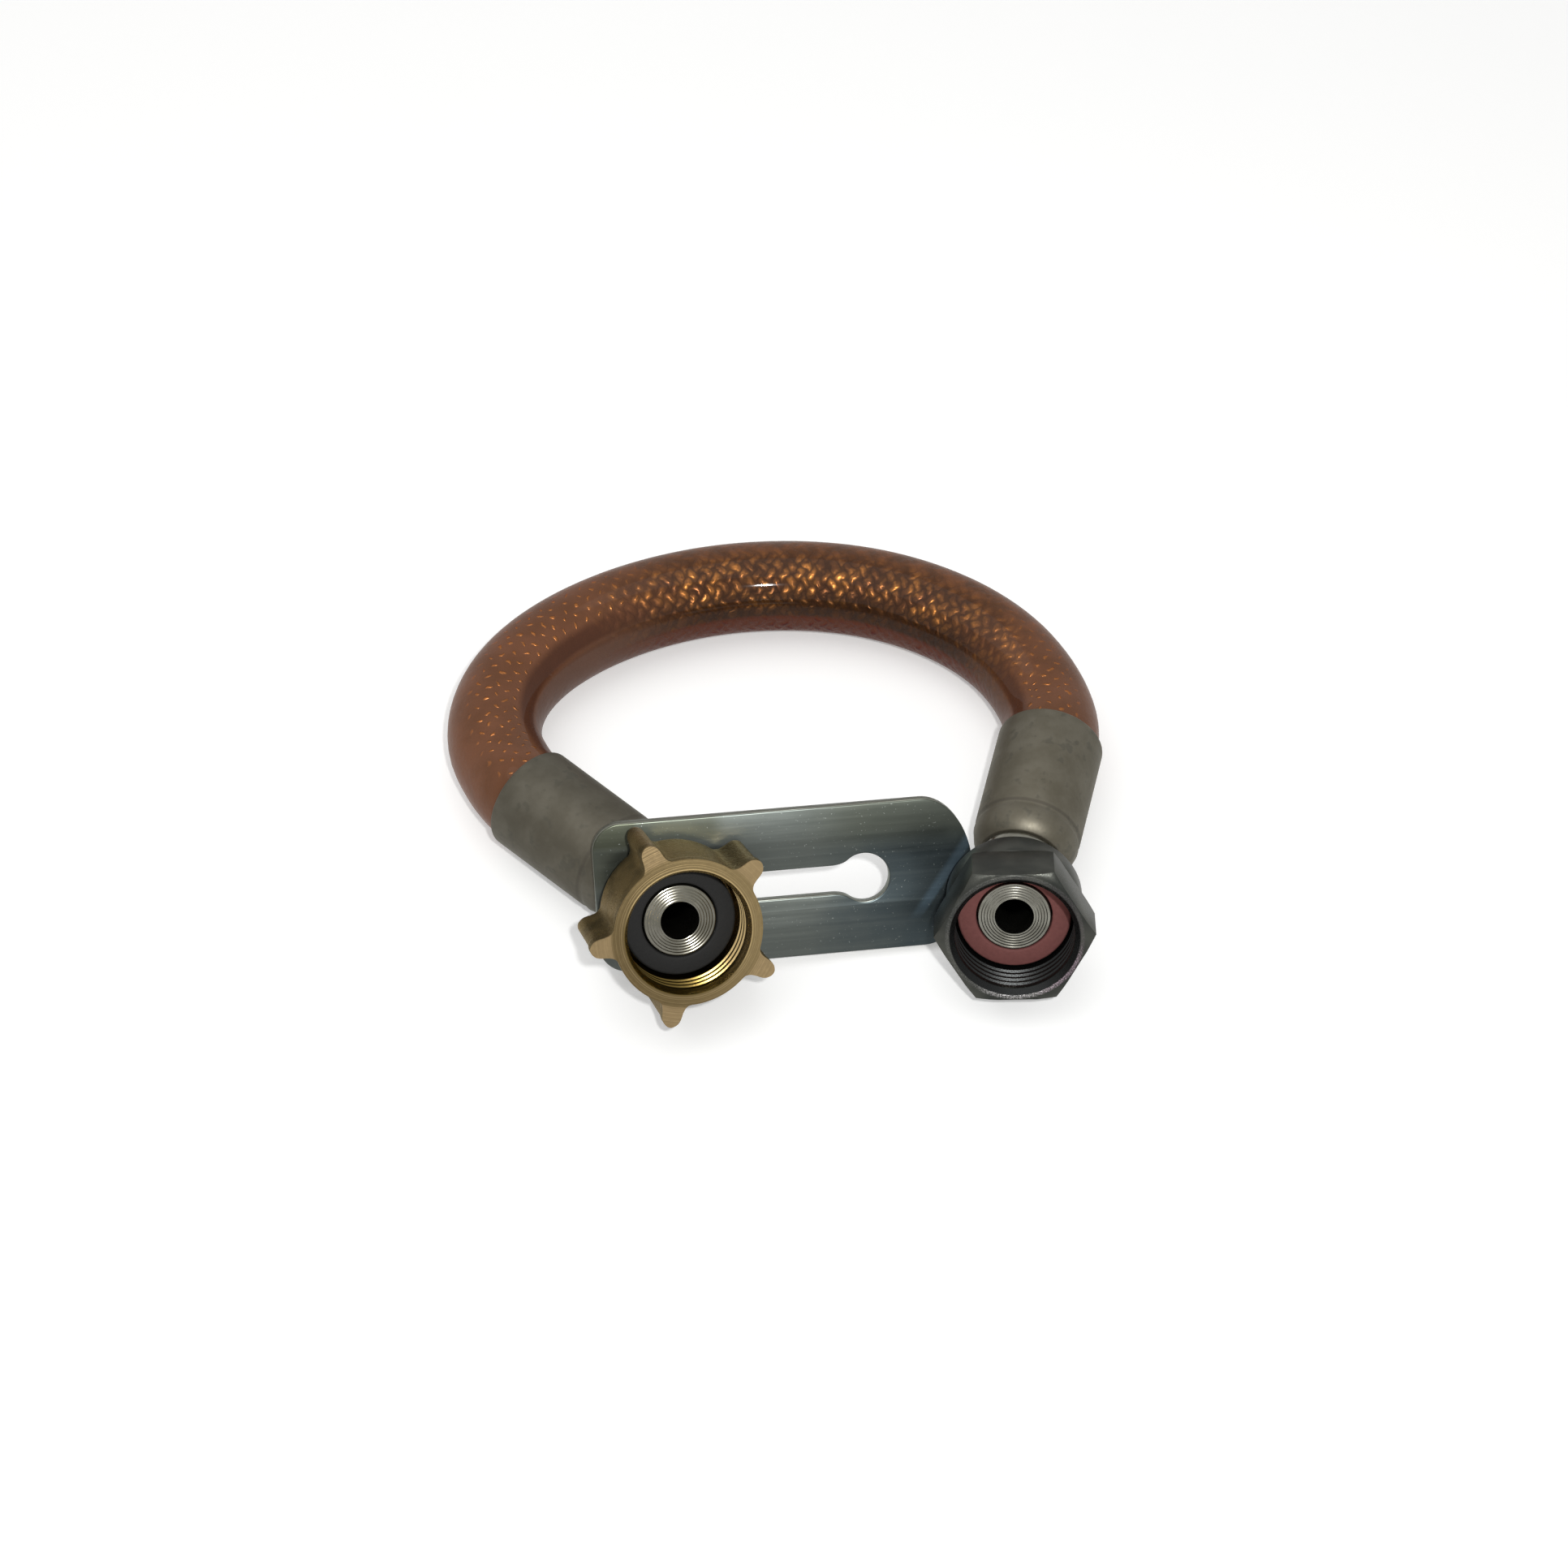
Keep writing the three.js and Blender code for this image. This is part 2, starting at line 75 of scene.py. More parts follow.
THREAD_RUNOUT = 0.1
MOUTH_CHAMFER = 0.9
MOUTH_LIP = 0.05
LUG_NUT = {"length": 15, "wall": 3.6, "seal": 7, "hole": 5.8, "minor": 10.4, "mouth": 11, "pitch": 1.6,
           "bend": 6.5, "leg": 5.95, "collar": 6.2, "pivot": 7.5}
HEX_NUT = {"length": 16, "wall": 3.3, "seal": 8, "hole": 5.9, "minor": 10.25, "mouth": 11.1, "pitch": 1.5,
           "bend": 3, "leg": 7.02, "collar": 7.3, "pivot": 8}
HEX_FLATS = 24
HEX_PART = 9.2
HEX_COLLAR_R = 11.9
HEX_TURN = math.radians(5)
HEX_COLLAR_EDGE = 1
HEX_COLLAR_RISE = 0.8
HEX_GROOVE = 0.3                 # between collar and hexagon
HEX_GROOVE_START = 0.4
HEX_GROOVE_END = 0.2
LUG_BODY_R = 12.6
LUG_COUNT = 5
LUG_FIRST = math.radians(32.5)
LUG_STEPS = [(12.75, 2.6), (13.4, 2.1), (14.4, 1.85), (15.4, 1.75), (16.2, 1.45), (16.75, 0.85)]
LUG_RIM_RISE = 0.3
LUG_RIM_FOOT = 2.4
LUG_RIM_LENGTH = 1.9
LUG_BACK_CHAMFER = 0.9
LEFT_OUTWARD = Vector((-0.7279, 0.6854, -0.0181)).normalized()
RIGHT_OUTWARD = Vector((0.2486, 0.9686, -0.0016)).normalized()

# Finer detail than the solids', in millimetres
SIDES = 120                      # of a turned piece
# front and crimp line of a ferrule, as [step from the outer radius, height]
FERRULE_FRONT = [(-2.2, 0), (-1.3, 0.9), (-0.7, 2.1), (-0.2, 4.1), (-0.42, 4.8), (-0.42, 5.3), (-0.15, 6)]
SEAL_EDGE = 0.3
SEAL_BORE_DROP = 0.2
HEX_CHAMFER = {"back": 0.9, "back_rise": 0.65, "front": 0.8, "front_r": HEX_COLLAR_R + 0.6}
THREAD_DEPTH = 0.85
THREAD_FORM = [(0.9, 0), (0.76, 1), (0.46, 1), (0.32, 0)]   # share of the pitch, share of the depth
GROOVE_PITCH = 0.45              # turning grooves on the nose's face
GROOVE_DEPTH = 0.08
GROOVE_STEPS = 8
GROOVE_MARGIN = 0.25             # plain ring inside and outside the grooves
BEND_TANGENT = 5.0               # a nipple's straights stop this far from the corner of its bend
BEND_STEPS = 10
SHARP = math.radians(32)         # an edge this sharp is rounded
SMOOTH_BELOW = math.radians(35)
CASTING_VOXEL = 0.34
FACING = 1.2                     # what the casting has to spare at its front
LUG_REACH = math.radians(13)     # half the arc that a lug grows from

# Centre of the hose in metres, left to right, and where the solids' own origin lies in these numbers
ROUTE_ORIGIN = Vector((0.002967, -0.01976, 0))
HOSE_BEND = [
    (-0.0507, 0.0044, 0.0089), (-0.0534, 0.011, 0.0088), (-0.0538, 0.0182, 0.0088),
    (-0.0518, 0.0258, 0.0088), (-0.0474, 0.033, 0.0088), (-0.0407, 0.0396, 0.0088),
    (-0.0322, 0.0452, 0.0088), (-0.0226, 0.0494, 0.0088), (-0.0124, 0.0521, 0.0088),
    (-0.002, 0.0532, 0.0088), (0.0082, 0.0528, 0.0088), (0.0181, 0.0508, 0.0088),
    (0.0275, 0.047, 0.0088), (0.0359, 0.0415, 0.0088), (0.0427, 0.0344, 0.0088),
    (0.0473, 0.0262, 0.0088), (0.0496, 0.0182, 0.0089),
]
HOSE_STRAIGHT = [HOSE_FRONT_GAP, 10, 16, 22, 29]   # along each ferrule, from its front end

# Camera, where the photograph was taken from, and its flash
CAMERA_AT = Vector((0, -0.320, 0.379)) - ROUTE_ORIGIN
CAMERA_TILT = math.radians(41)
CAMERA_LENS = 61.49
CAMERA_SENSOR = 36
FLASH_AT = CAMERA_AT + Vector((0.04, 0, 0.04))


def add_object(name, data):
    made = bpy.data.objects.new(name, data)
    bpy.context.scene.collection.objects.link(made)
    return made


def choose(piece):
    """Makes the piece the only one that is selected, and the active one."""
    bpy.ops.object.select_all(action="DESELECT")
    piece.select_set(True)
    bpy.context.view_layer.objects.active = piece


def make_camera():
    data = bpy.data.cameras.new("camera")
    data.lens = CAMERA_LENS
    data.sensor_width = CAMERA_SENSOR
    camera = add_object("camera", data)
    camera.location = CAMERA_AT
    camera.rotation_euler = (CAMERA_TILT, 0, 0)
    bpy.context.scene.camera = camera


# Lines of the two ends, from the nuts' joints
def placement(origin, forward):
    """Axes of a piece: z along forward, x sideways and y as upright as it can be."""
    z = forward.normalized()
    x = Vector((0, 0, 1)).cross(z).normalized()
    y = z.cross(x)
    return Matrix.Translation(origin) @ Matrix((x, y, z)).transposed().to_4x4()


def joint_line(name):
    """A joint's point and direction."""
    joint = next(j for j in frame["record"]["behaviour"]["joints"] if j["name"] == name)
    return Vector(joint["pos_m"]), Vector(joint["axis"]).normalized()


def end_line(joint, nut, outward):
    """Where one end's nut, bend and ferrule are; lengths in metres."""
    pivot, backward = joint_line(joint)
    back = pivot + backward * nut["pivot"] * MM
    corner = back + backward * nut["bend"] * MM
    front = corner + outward * nut["leg"] * MM
    return {"nut": nut, "back": back, "frontward": -backward, "corner": corner, "outward": outward,
            "ferrule_front": front, "nut_place": placement(back, -backward),
            "ferrule_place": placement(front, outward)}


LEFT = end_line("lug_nut_spin", LUG_NUT, LEFT_OUTWARD)
RIGHT = end_line("hex_nut_spin", HEX_NUT, RIGHT_OUTWARD)


# Hose line
def spline(points, per_span=12):
    """Smooth centripetal curve through the points, as many points on each span."""
    ends = [points[0] * 2 - points[1], *points, points[-1] * 2 - points[-2]]
    line = []
    for a, b, c, d in zip(ends, ends[1:], ends[2:], ends[3:]):
        t0, t1, t2 = ((q - p).length ** 0.5 for p, q in ((a, b), (b, c), (c, d)))
        m1 = ((b - a) / t0 - (c - a) / (t0 + t1) + (c - b) / t1) * t1
        m2 = ((c - b) / t1 - (d - b) / (t1 + t2) + (d - c) / t2) * t1
        for i in range(per_span):
            t = i / per_span
            line.append(b * (2 * t**3 - 3 * t**2 + 1) + m1 * (t**3 - 2 * t**2 + t)
                        + c * (3 * t**2 - 2 * t**3) + m2 * (t**3 - t**2))
    return [*line, points[-1]]


def even_line(line, step):
    """The same line with its points a step apart, and its length."""
    lengths = [0]
    for p, q in zip(line, line[1:]):
        lengths.append(lengths[-1] + (q - p).length)
    count = round(lengths[-1] / step)
    out, k = [], 0
    for i in range(count + 1):
        want = lengths[-1] * i / count
        while k < len(line) - 2 and lengths[k + 1] < want:
            k += 1
        share = (want - lengths[k]) / (lengths[k + 1] - lengths[k])
        out.append(line[k].lerp(line[k + 1], share))
    return out, lengths[-1]


def hose_route():
    def straight(end):
        return [end["ferrule_front"] + end["outward"] * d * MM for d in HOSE_STRAIGHT]
    bend = [Vector(p) - ROUTE_ORIGIN for p in HOSE_BEND]
    return spline([*straight(LEFT), *bend, *reversed(straight(RIGHT))])


# Pieces drawn ring by ring
def start_ring(name, radius, height):
    bpy.ops.object.select_all(action="DESELECT")
    bpy.ops.mesh.primitive_circle_add(vertices=SIDES, radius=radius * MM, location=(0, 0, height * MM))
    piece = bpy.context.object
    bpy.ops.object.transform_apply(location=True)
    piece.name = piece.data.name = name
    bpy.ops.object.mode_set(mode="EDIT")
    return piece


def next_ring(move, centre, ratio):
    """Extrudes the chosen ring by move, then sizes it about its centre."""
    bpy.ops.mesh.extrude_edges_move(TRANSFORM_OT_translate={"value": move})
    if abs(ratio - 1) > 1e-6:
        bpy.ops.transform.resize(value=(ratio, ratio, ratio), center_override=centre)


def draw_profile(profile):
    """Carries the chosen ring up the z axis through [radius, height] points."""
    for (r0, h0), (r1, h1) in zip(profile, profile[1:]):
        next_ring((0, 0, (h1 - h0) * MM), (0, 0, h1 * MM), r1 / r0)


def close_shape():
    bpy.ops.mesh.select_all(action="SELECT")
    bpy.ops.mesh.remove_doubles(threshold=0.002 * MM)
    bpy.ops.mesh.normals_make_consistent(inside=False)


def turned(name, profile):
    """A closed turned piece about the z axis; the profile comes back to its first point."""
    piece = start_ring(name, *profile[0])
    draw_profile([*profile, profile[0]])
    close_shape()
    bpy.ops.object.mode_set(mode="OBJECT")
    return piece


def apply_modifier(piece, kind, **settings):
    modifier = piece.modifiers.new(kind.lower(), kind)
    for key, value in settings.items():
        setattr(modifier, key, value)
    bpy.context.view_layer.objects.active = piece
    bpy.ops.object.modifier_apply(modifier=modifier.name)


def round_edges(piece, width):
    apply_modifier(piece, "BEVEL", width=width * MM, segments=2, limit_method="ANGLE", angle_limit=SHARP)


def finish(piece, place, body, node, material, edge):
    """Rounds the edges, smooths, puts the piece in its place and lets it stand for its solid."""
    choose(piece)
    if edge:
        round_edges(piece, edge)
    bpy.ops.object.shade_smooth_by_angle(angle=SMOOTH_BELOW)
    piece.matrix_world = place
    bpy.ops.object.transform_apply(location=True, rotation=True, scale=True)
    piece.data.materials.clear()
    piece.data.materials.append(material)
    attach(piece, body)
    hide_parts(node)
    return piece


# Materials
class Socket:
    """An output of a node; arithmetic on it adds Math nodes."""

    def __init__(self, paint, out):
        self.paint = paint
        self.out = out

    def math(self, operation, *values):
        return self.paint.node("Math", {"operation": operation}, dict(enumerate(values)))

    def __add__(self, other):
        return self.math("ADD", self, other)

    def __radd__(self, other):
        return self.math("ADD", other, self)

    def __sub__(self, other):
        return self.math("SUBTRACT", self, other)

    def __rsub__(self, other):
        return self.math("SUBTRACT", other, self)

    def __mul__(self, other):
        return self.math("MULTIPLY", self, other)

    def __rmul__(self, other):
        return self.math("MULTIPLY", other, self)

    def __pow__(self, other):
        return self.math("POWER", self, other)


class Paint:
    """One material and its nodes."""

    def __init__(self, name, **constants):
        self.material = bpy.data.materials.new(name)
        self.material.use_nodes = True
        self.tree = self.material.node_tree
        self.shader = self.tree.nodes["Principled BSDF"]
        for socket, value in constants.items():
            self.shader.inputs[socket.replace("_", " ")].default_value = value

    def node(self, kind, settings=None, inputs=None, output=0):
        """Adds a node: its settings first, then the values or links of its sockets."""
        node = self.tree.nodes.new("ShaderNode" + kind)
        for key, value in (settings or {}).items():
            setattr(node, key, value)
        for key, value in (inputs or {}).items():
            self.feed(node.inputs[key], value)
        return Socket(self, node.outputs[output])

    def feed(self, socket, value):
        if isinstance(value, Socket):
            self.tree.links.new(value.out, socket)
        elif hasattr(socket.default_value, "__len__") and len(socket.default_value) == 4:
            socket.default_value = (*value, 1)
        else:
            socket.default_value = value

    def set(self, **sockets):
        for name, value in sockets.items():
            self.feed(self.shader.inputs[name.replace("_", " ")], value)

    def local(self, place):
        """Object coordinates in millimetres about a piece's own line: the vector, x, y, z and radius."""
        coords = self.node("TexCoord", output="Object")
        vector = self.node("Mapping", {"vector_type": "TEXTURE"}, {
            "Vector": coords, "Location": place.translation, "Rotation": place.to_euler(),
            "Scale": (MM, MM, MM)})
        x, y, z = (self.node("SeparateXYZ", None, {"Vector": vector}, output=k) for k in range(3))
        return vector, x, y, z, (x * x + y * y) ** 0.5

    def noise(self, vector, scale, detail=3.0, roughness=0.55):
        return self.node("TexNoise", None, {
            "Vector": vector, "Scale": scale, "Detail": detail, "Roughness": roughness})

    def turning_marks(self, radius, scale):
        """Uneven rings about the line, as a turning tool leaves them."""
        across = self.node("CombineXYZ", None, {0: radius})
        return self.noise(across, scale, 2.0)

    def stretch(self, vector, x, y, z):
        return self.node("VectorMath", {"operation": "MULTIPLY"}, {0: vector, 1: (x, y, z)})

    def size(self, value):
        return self.node("Math", {"operation": "ABSOLUTE"}, {0: value})

    def between(self, value, low, high):
        """0 below low, 1 above high, smooth between; low may be above high."""
        return self.node("MapRange", {"interpolation_type": "SMOOTHSTEP"}, {
            "Value": value, "From Min": low, "From Max": high, "To Min": 0.0, "To Max": 1.0})

    def mix(self, share, first, second):
        return self.node("Mix", {"data_type": "RGBA"}, {0: share, 6: first, 7: second}, output=2)

    def bump(self, height, distance):
        self.set(Normal=self.node("Bump", None, {
            "Height": height, "Distance": distance * MM, "Strength": 1.0}))


def cast_brass(place):
    """Cast outside, faced front with painted light towards its right, and a turned mouth with a high polish,
    painted light on its upper right and painted shade at its bottom.
    """
    paint = Paint("cast_brass", Specular_Tint=(1, 0.85, 0.6, 1))
    vector, x, y, z, radius = paint.local(place)
    length, mouth = LUG_NUT["length"], LUG_NUT["mouth"]
    grain = paint.noise(vector, 1.5, 6.0, 0.7)
    cloud = paint.noise(vector, 0.13, 3.0)
    front = paint.between(z, length - 0.5, length - 0.1)
    inside = paint.between(radius, mouth + 0.25, mouth + 0.05) * paint.between(z, 1.0, 2.0)
    outside = paint.mix(paint.between(cloud, 0.38, 0.62), (0.018, 0.013, 0.006), (0.07, 0.049, 0.021))
    outside = paint.mix(paint.between(grain, 0.55, 0.8) * 0.25, outside, (0.17, 0.12, 0.05))
    marks = paint.turning_marks(radius, 3.0)
    lug = paint.between(radius, LUG_BODY_R + LUG_RIM_RISE, LUG_BODY_R + 1.1)
    # painted light: the faced front turns lighter towards its right
    faced = paint.mix(paint.between(x + y * 0.4, -12.0, 12.0), (0.1, 0.071, 0.032), (0.165, 0.12, 0.056))
    faced = paint.mix(paint.between(marks, 0.5, 0.72) * 0.5, faced, (0.34, 0.26, 0.135))
    faced = paint.mix(paint.between(radius, mouth + 0.2, mouth) * 0.5, faced, (0.45, 0.36, 0.2))
    faced = paint.mix(lug * 0.6, faced, (0.25, 0.18, 0.095))
    # painted light and shade: the mouth is light on its upper right and dark at its bottom
    mouth_lit_and_shaded = paint.mix(paint.between(y + x * 0.8, -7.0, 3.0), (0.09, 0.062, 0.018), (0.42, 0.31, 0.15))
    colour = paint.mix(inside, paint.mix(front, outside, faced), mouth_lit_and_shaded)
    paint.set(Base_Color=colour, Metallic=0.85 + 0.15 * inside,
              Roughness=0.37 + 0.02 * front - 0.12 * inside + (grain - 0.5) * 0.3 * (1 - inside))
    paint.bump((1 - inside) * (1 - front) * grain * 1.5 + front * marks * 0.5 + inside * grain * 0.12, 0.14)
    return paint.material


def dark_steel(place):
    """Dark plating, worn bright on the rim's lower edge."""
    paint = Paint("dark_steel", Metallic=0.8, Specular_Tint=(0.6, 0.6, 0.58, 1))
    vector, x, y, z, radius = paint.local(place)
    length, mouth = HEX_NUT["length"], HEX_NUT["mouth"]
    grain = paint.noise(vector, 4.5, 4.0, 0.75)
    cloud = paint.noise(vector, 0.16, 2.0)
    inside = paint.between(radius, mouth + 0.2, mouth - 0.05) * paint.between(z, 1.0, 2.0)
    body = paint.mix(paint.between(cloud, 0.35, 0.7), (0.026, 0.028, 0.025), (0.052, 0.053, 0.046))
    # painted shade: darker inside the nut
    body = paint.mix(inside, body, (0.016, 0.017, 0.017))
    lip = paint.between(z, length - 0.75, length - 0.3) * paint.between(radius, 12.0, 11.7) * (1 - inside)
    low = paint.between(x * 0.55 - y, 6.0, 10.5)
    share = paint.between(grain, 0.45, 0.62) * (0.12 + 0.88 * low) * lip
    tint = paint.mix(paint.between(x, 3.0, 9.0), (0.42, 0.4, 0.4), (0.34, 0.25, 0.3))
    paint.set(Base_Color=paint.mix(share, body, tint),
              Roughness=0.32 - 0.04 * inside + (grain - 0.5) * 0.25)
    paint.bump(grain * (0.35 + lip), 0.06)
    return paint.material


def turned_steel(name, place, dark, light):
    """Bright turned steel, with painted shade down its bore."""
    paint = Paint(name, Metallic=0.95)
    vector, *_, radius = paint.local(place)
    grain = paint.noise(vector, 0.35, 2.0)
    # painted shade: near black down the bore
    bore_shade = paint.between(radius, BORE_R + 0.12, BORE_R - 0.12)
    colour = paint.mix(paint.between(grain, 0.3, 0.7), dark, light)
    paint.set(Base_Color=paint.mix(bore_shade, colour, (0.01, 0.011, 0.01)), Roughness=0.16 + 0.06 * grain)
    paint.bump(grain, 0.05)
    return paint.material


def ferrule_steel(name, place, dark, light):
    """Satin sleeve, faintly clouded, with a line from the crimping jaws."""
    paint = Paint(name, Metallic=0.5, Specular_Tint=(0.7, 0.7, 0.65, 1))
    vector, _, _, z, _ = paint.local(place)
    cloud = paint.noise(vector, 0.2, 3.0)
    patch = paint.noise(vector, 0.42, 2.0)
    grain = paint.noise(paint.stretch(vector, 1.0, 1.0, 0.25), 2.5, 4.0)
    line = paint.between(z, 5.3, 5.6) * paint.between(z, 6.2, 5.8)
    colour = paint.mix(paint.between(cloud, 0.3, 0.7), dark, light)
    colour = paint.mix(paint.between(patch, 0.56, 0.68) * 0.45, colour, (0.045, 0.043, 0.033))
    colour = paint.mix(line * 0.5, colour, (0.04, 0.034, 0.026))
    paint.set(Base_Color=colour, Roughness=0.5 + (grain - 0.5) * 0.15)
    paint.bump(grain * 0.3 + cloud * 0.5, 0.05)
    return paint.material


def rubber(name, place, dark, light):
    paint = Paint(name, Specular_IOR_Level=0.2)
    vector, *_ = paint.local(place)
    grain = paint.noise(vector, 1.4, 5.0)
    paint.set(Base_Color=paint.mix(grain, dark, light), Roughness=0.72 + 0.15 * grain)
    paint.bump(grain, 0.06)
    return paint.material


def zinc_plate(place):
    """Bluish zinc plate, rolled along its length, darker towards the keyhole's end."""
    paint = Paint("zinc_plate", Metallic=0.8, Specular_Tint=(0.75, 0.8, 0.8, 1))
    vector, x, y, z, _ = paint.local(place)
    streaks = paint.noise(paint.stretch(vector, 0.05, 1.1, 0.6), 1.0, 5.0)
    cloud = paint.noise(vector, 0.09, 3.0)
    specks = paint.between(paint.noise(vector, 2.4, 2.0), 0.68, 0.74)
    tone = paint.between(x + (cloud - 0.5) * 22.0, 20.0, 44.0)
    colour = paint.mix(tone, (0.073, 0.081, 0.074), (0.035, 0.046, 0.05))
    streaked = paint.between(streaks, 0.42, 0.7) * (0.2 - 0.13 * tone)
    colour = paint.mix(streaked, colour, (0.12, 0.13, 0.116))
    olive = paint.between(y, 3.0, 9.5) * paint.between(x, 20.0, 36.0)
    colour = paint.mix(olive * 0.7, colour, (0.052, 0.055, 0.04))
    # painted reflection of the lug nut along the top edge above it, and painted shade on the upper left
    # corner beside it
    above_nut = paint.between(y, 8.5, 10.8) * paint.between(x, 12.0, 8.0)
    nut_reflection_and_shade = above_nut + paint.between(x, -4.0, -6.0) * paint.between(y, 0.0, 4.0)
    colour = paint.mix(nut_reflection_and_shade * 0.7, colour, (0.034, 0.037, 0.025))
    # painted highlight: a bright bluish streak near the right end, by the hex nut
    slant = x - y * 0.72
    painted_shine = paint.between(slant, 48.2, 49.8) * paint.between(slant, 51.4, 50.6) * paint.between(y, -9.0, -5.0)
    colour = paint.mix(painted_shine * 0.45, colour, (0.12, 0.18, 0.23))
    colour = paint.mix(specks * 0.35, colour, (0.3, 0.32, 0.3))
    sheared = paint.between(paint.size(z), 1.02, 0.9)
    colour = paint.mix(sheared * 0.8, colour, (0.2, 0.2, 0.165))
    paint.set(Base_Color=colour, Roughness=0.28 + 0.14 * streaks)
    paint.bump(streaks * 0.12 + cloud * 0.8 + sheared * streaks * 2.0, 0.06)
    return paint.material


# Turned fittings
def thread_rings(nut):
    """Thread grooves of a nut from its mouth inwards, as [radius, height]."""
    end = nut["length"] - MOUTH_CHAMFER
    start = nut["length"] - nut["seal"] + THREAD_AFTER_SEAL
    points = [(nut["mouth"], nut["length"] - MOUTH_LIP), (nut["minor"], end)]
    count = int((end - start) / nut["pitch"])
    for k in reversed(range(count)):
        for share, depth in THREAD_FORM:
            points.append((nut["minor"] + THREAD_DEPTH * depth, start + nut["pitch"] * (k + share)))
    return [*points, (nut["minor"], start - THREAD_RUNOUT), (nut["minor"], nut["wall"]),
            (nut["hole"], nut["wall"])]


def choose_faces(piece, test):
    """Chooses the faces whose centre and normal pass the test, in edit mode."""
    bpy.ops.object.mode_set(mode="OBJECT")
    for vertex in piece.data.vertices:
        vertex.select = False
    for edge in piece.data.edges:
        edge.select = False
    for face in piece.data.polygons:
        face.select = test(face.center / MM, face.normal)
    bpy.ops.object.mode_set(mode="EDIT")
    bpy.ops.mesh.select_mode(type="FACE")


def cast_lug_blank():
    """The rough casting: a barrel with a rim and five lugs, longer than the nut by what facing takes off."""
    length = LUG_NUT["length"]
    core, rim, top = 4.5, LUG_BODY_R + LUG_RIM_RISE, length + FACING
    profile = [
        (core, 0), (LUG_BODY_R - LUG_BACK_CHAMFER, 0), (LUG_BODY_R, LUG_BACK_CHAMFER),
        (LUG_BODY_R, length - LUG_RIM_FOOT), (rim, length - LUG_RIM_LENGTH), (rim, top), (core, top)]
    piece = turned("brass_lug_nut_finish", profile)
    bpy.ops.object.mode_set(mode="EDIT")

    def first_lug(centre, normal):
        return (centre.x > 0 and abs(math.atan2(centre.y, centre.x)) < LUG_REACH
                and LUG_BODY_R - 0.2 < math.hypot(centre.x, centre.y) < LUG_BODY_R + 0.4
                and centre.z > LUG_BACK_CHAMFER and normal.x > 0.7)

    for _ in range(LUG_COUNT):
        choose_faces(piece, first_lug)
        at, half = LUG_BODY_R, LUG_BODY_R * math.sin(LUG_REACH)
        for distance, side in LUG_STEPS:
            bpy.ops.mesh.extrude_region_move(
                TRANSFORM_OT_translate={"value": ((distance - at) * MM, 0, 0)})
            bpy.ops.transform.resize(value=(1, side / half, 0.99), center_override=(0, 0, length / 2 * MM))
            at, half = distance, side
        bpy.ops.mesh.select_all(action="SELECT")
        bpy.ops.transform.rotate(value=2 * math.pi / LUG_COUNT, orient_axis="Z", center_override=(0, 0, 0))
    bpy.ops.object.mode_set(mode="OBJECT")
    apply_modifier(piece, "REMESH", mode="VOXEL", voxel_size=CASTING_VOXEL * MM)
    apply_modifier(piece, "SMOOTH", factor=0.5, iterations=5)
    return piece


def make_lug_nut():
    """Casts the blank, faces its front and turns out its hole and mouth."""
    length = LUG_NUT["length"]
    piece = cast_lug_blank()
    bpy.ops.object.mode_set(mode="EDIT")
    bpy.ops.mesh.select_all(action="SELECT")
    bpy.ops.mesh.bisect(plane_co=(0, 0, length * MM), plane_no=(0, 0, 1), use_fill=True, clear_outer=True)
    bpy.ops.object.mode_set(mode="OBJECT")
    core, before, past = 3, -2, length + 2
    tool = turned("boring_tool", [
        (core, before), (core, past), (LUG_NUT["mouth"], past), *thread_rings(LUG_NUT),
        (LUG_NUT["hole"], before)])
    round_edges(tool, 0.12)
    apply_modifier(piece, "BOOLEAN", object=tool, operation="DIFFERENCE", solver="EXACT")
    bpy.data.objects.remove(tool)
    place = LEFT["nut_place"] @ Matrix.Rotation(LUG_FIRST, 4, "Z")
    finish(piece, place, "lug_nut", "brass_lug_nut", cast_brass(LEFT["nut_place"]), edge=0)


def make_hex_nut():
    """Turns the nut with its collar, then cuts the six flats."""
    length = HEX_NUT["length"]
    corner = HEX_FLATS / math.sqrt(3)
    base = length - HEX_PART
    groove_r = HEX_COLLAR_R - HEX_GROOVE
    profile = [
        (HEX_NUT["hole"], 0), (HEX_COLLAR_R - HEX_COLLAR_EDGE, 0), (HEX_COLLAR_R, HEX_COLLAR_RISE),
        (HEX_COLLAR_R, base - HEX_GROOVE_START), (groove_r, base - HEX_GROOVE_END), (groove_r, base),
        (corner - HEX_CHAMFER["back"], base), (corner, base + HEX_CHAMFER["back_rise"]),
        (corner, length - HEX_CHAMFER["front"]), (HEX_CHAMFER["front_r"], length),
        (HEX_NUT["mouth"], length), *thread_rings(HEX_NUT)]
    piece = turned("steel_hex_nut_finish", profile)
    bpy.ops.object.mode_set(mode="EDIT")
    for k in range(6):
        angle = HEX_TURN + math.radians(30 + 60 * k)
        normal = (math.cos(angle), math.sin(angle), 0)
        bpy.ops.mesh.select_all(action="SELECT")
        bpy.ops.mesh.bisect(plane_co=[n * HEX_FLATS / 2 * MM for n in normal], plane_no=normal,
                            use_fill=True, clear_outer=True)
    bpy.ops.object.mode_set(mode="OBJECT")
    finish(piece, RIGHT["nut_place"], "hex_nut", "steel_hex_nut", dark_steel(RIGHT["nut_place"]), edge=0.18)


def turned_face(top, inner, outer):
    """Fine grooves across a face, as [radius, height]."""
    steps = GROOVE_STEPS * round((outer - inner) / GROOVE_PITCH)
    points = []
    for k in range(steps + 1):
        dip = 0.5 - 0.5 * math.cos(2 * math.pi * k / GROOVE_STEPS)
        points.append((inner + (outer - inner) * k / steps, top - GROOVE_DEPTH * dip))
    return points


